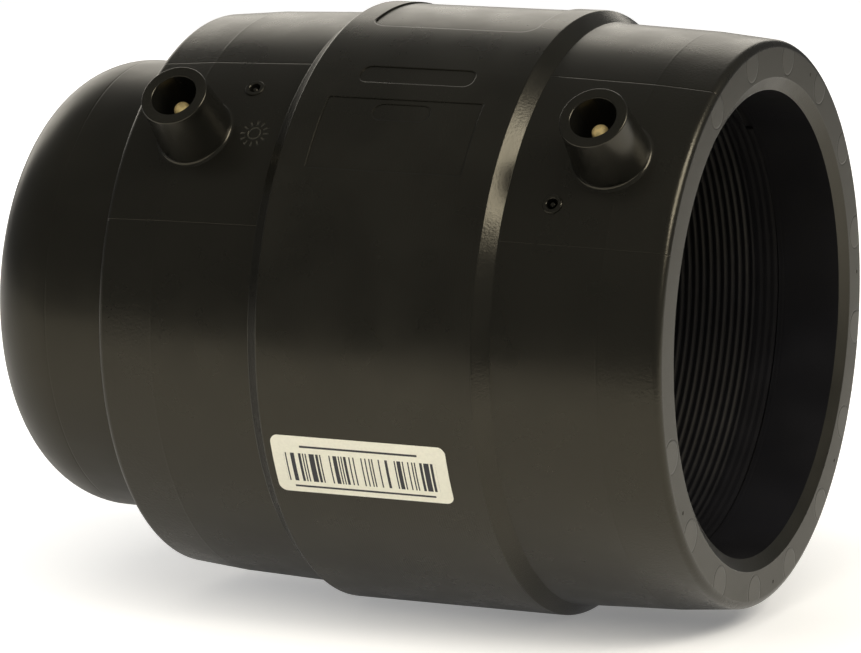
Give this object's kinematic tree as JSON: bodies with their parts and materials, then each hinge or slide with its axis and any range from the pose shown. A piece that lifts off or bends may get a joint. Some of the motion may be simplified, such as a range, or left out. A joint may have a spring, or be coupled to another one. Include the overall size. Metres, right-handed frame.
{
  "type": "electrofusion coupler",
  "caption": "Straight electrofusion coupler with a raised centre band, shrouded terminals, a coated wire wound in its bore and a domed end cap in one socket.",
  "frame": {"origin": "middle of the open mouth, in the plane of the open end face", "axes": "+Z along the bore from the open end towards the end cap; both terminals face -Y; the data label is on the -X side"},
  "size_m": [0.1452, 0.1564, 0.1892],
  "materials": {
    "body": "black polyethylene, as moulded",
    "wire_coat": "black polyethylene coat over resistance wire",
    "terminal_pin": "turned brass",
    "cap": "black polyethylene, as moulded",
    "label": "white self-adhesive label"
  },
  "bodies": {
    "root": {"coupler_body": "body", "heating_wire": "wire_coat", "contact_pin_open_end": "terminal_pin", "contact_pin_cap_end": "terminal_pin", "end_cap": "cap", "data_label": "label"}
  },
  "joints": []
}
